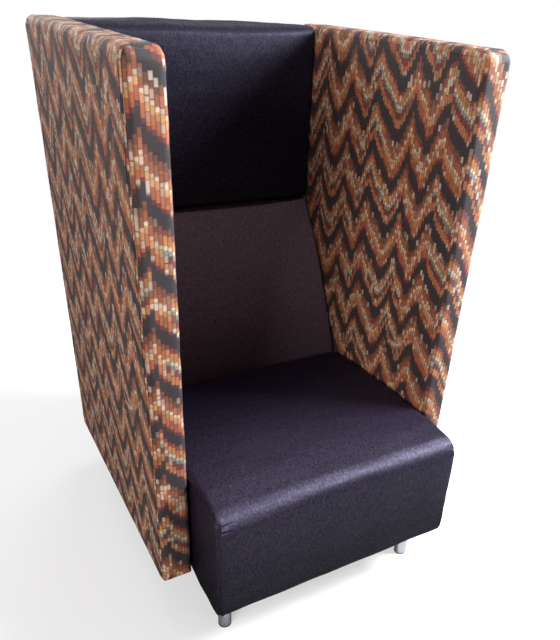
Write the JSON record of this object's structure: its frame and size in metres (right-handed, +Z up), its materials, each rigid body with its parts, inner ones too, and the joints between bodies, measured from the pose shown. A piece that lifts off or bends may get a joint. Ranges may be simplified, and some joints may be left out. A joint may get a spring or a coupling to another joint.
{
  "type": "acoustic high back lounge chair",
  "caption": "High back lounge chair with a deep upholstered seat and a stepped back between tall padded wings, on round metal legs.",
  "frame": {"origin": "on the floor, midway between the outer faces of the wings and midway between the seat's front and the chair's rear", "axes": "+Z up; the sitter faces -Y; +X to the right of someone who looks at the chair's front"},
  "size_m": [0.86, 0.975, 1.365],
  "materials": {
    "printed_fabric": "matte",
    "navy_fabric": "matte",
    "lining": "matte",
    "foam": "matte",
    "felt": "matte",
    "webbing": "matte",
    "timber": "matte",
    "plywood": "matte",
    "hardboard": "matte",
    "leg_metal": "satin",
    "glide_plastic": "matte",
    "zinc_steel": "satin"
  },
  "bodies": {
    "root": {"left_wing_cover": "printed_fabric", "left_wing_front_band": "printed_fabric", "left_wing_rear_band": "printed_fabric", "left_wing_base_cloth": "lining", "left_wing_outer_foam": "foam", "left_wing_inner_foam": "foam", "left_wing_edge_foam": "foam", "left_wing_outer_board": "hardboard", "left_wing_inner_board": "hardboard", "left_wing_stiles": "timber", "left_wing_rails": "timber", "left_wing_infill": "felt", "right_wing_cover": "printed_fabric", "right_wing_front_band": "printed_fabric", "right_wing_rear_band": "printed_fabric", "right_wing_base_cloth": "lining", "right_wing_outer_foam": "foam", "right_wing_inner_foam": "foam", "right_wing_edge_foam": "foam", "right_wing_outer_board": "hardboard", "right_wing_inner_board": "hardboard", "right_wing_stiles": "timber", "right_wing_rails": "timber", "right_wing_infill": "felt", "seat_cover": "navy_fabric", "lower_back_cover": "navy_fabric", "upper_back_cover": "navy_fabric", "rear_cover": "navy_fabric", "seat_foam": "foam", "seat_wrap_foam": "foam", "lower_back_foam": "foam", "upper_back_foam": "foam", "rear_padding": "foam", "seat_webbing_long": "webbing", "seat_webbing_cross": "webbing", "lower_back_webbing": "webbing", "base_front_board": "plywood", "base_side_boards": "plywood", "back_ribs": "plywood", "upper_back_board": "plywood", "base_deck_rail": "timber", "base_corner_blocks": "timber", "back_posts": "timber", "back_rails": "timber", "rear_board": "hardboard", "dust_cover": "lining", "front_left_leg": "leg_metal", "front_right_leg": "leg_metal", "rear_left_leg": "leg_metal", "rear_right_leg": "leg_metal", "front_left_glide": "glide_plastic", "front_right_glide": "glide_plastic", "rear_left_glide": "glide_plastic", "rear_right_glide": "glide_plastic", "leg_inserts": "zinc_steel", "wing_inserts": "zinc_steel", "rear_wing_bolts": "zinc_steel", "front_wing_bolts": "zinc_steel", "wing_bolt_washers": "zinc_steel"}
  },
  "joints": []
}
